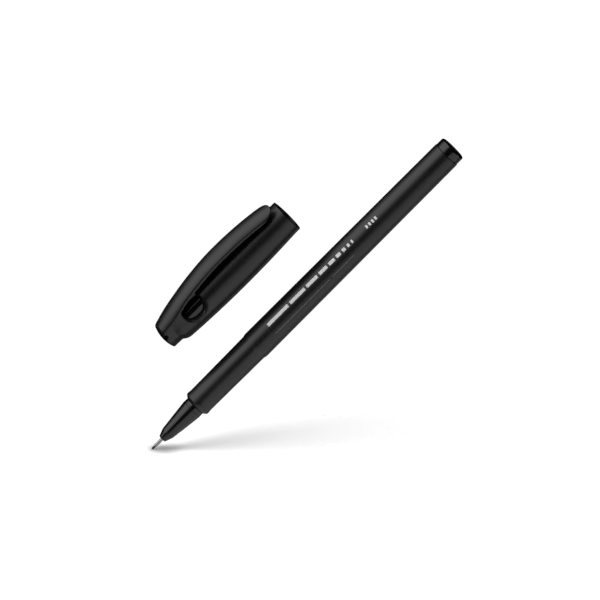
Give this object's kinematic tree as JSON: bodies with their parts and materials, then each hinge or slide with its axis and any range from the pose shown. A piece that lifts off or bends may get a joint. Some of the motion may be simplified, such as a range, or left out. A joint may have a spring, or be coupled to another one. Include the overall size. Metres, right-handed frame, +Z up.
{
  "type": "fineliner pen",
  "caption": "Slim fineliner pen with a steel-sleeved point, glossy nose and tail plug and tapered barrel, its bellied clip cap taken off and laid beside it.",
  "frame": {"origin": "the tip of the writing point, on the pen's axis", "axes": "+X along the pen from the writing point to its rear end, +Y across the table to the cap, +Z up from the table"},
  "size_m": [0.1339, 0.0361, 0.0158],
  "materials": {
    "satin_black": "satin",
    "gloss_black": "gloss",
    "steel": "polished",
    "nib_black": "matte",
    "fibre": "matte",
    "film": "gloss",
    "liner_black": "satin"
  },
  "bodies": {
    "pen": {"barrel": "satin_black", "nose_cone": "gloss_black", "nib_sleeve": "steel", "writing_nib": "nib_black", "feed_wick": "fibre", "ink_reservoir": "fibre", "reservoir_film": "film", "tail_plug": "gloss_black"},
    "cap": {"cap_shell": "satin_black", "cap_liner": "liner_black"},
    "clip": {"cap_clip": "satin_black"}
  },
  "joints": [
    {"name": "cap_pull", "type": "slide", "parent": "pen", "child": "cap", "axis": [-1, 0, 0], "range_m": [0, 0.0818]},
    {"name": "clip_flex", "type": "hinge", "parent": "cap", "child": "clip", "pos_m": [0.0294, 0.02429, 0.004], "axis": [0, -0.7071, 0.7071], "range_deg": [0, 3], "stiffness_Nm_per_rad": 2}
  ]
}
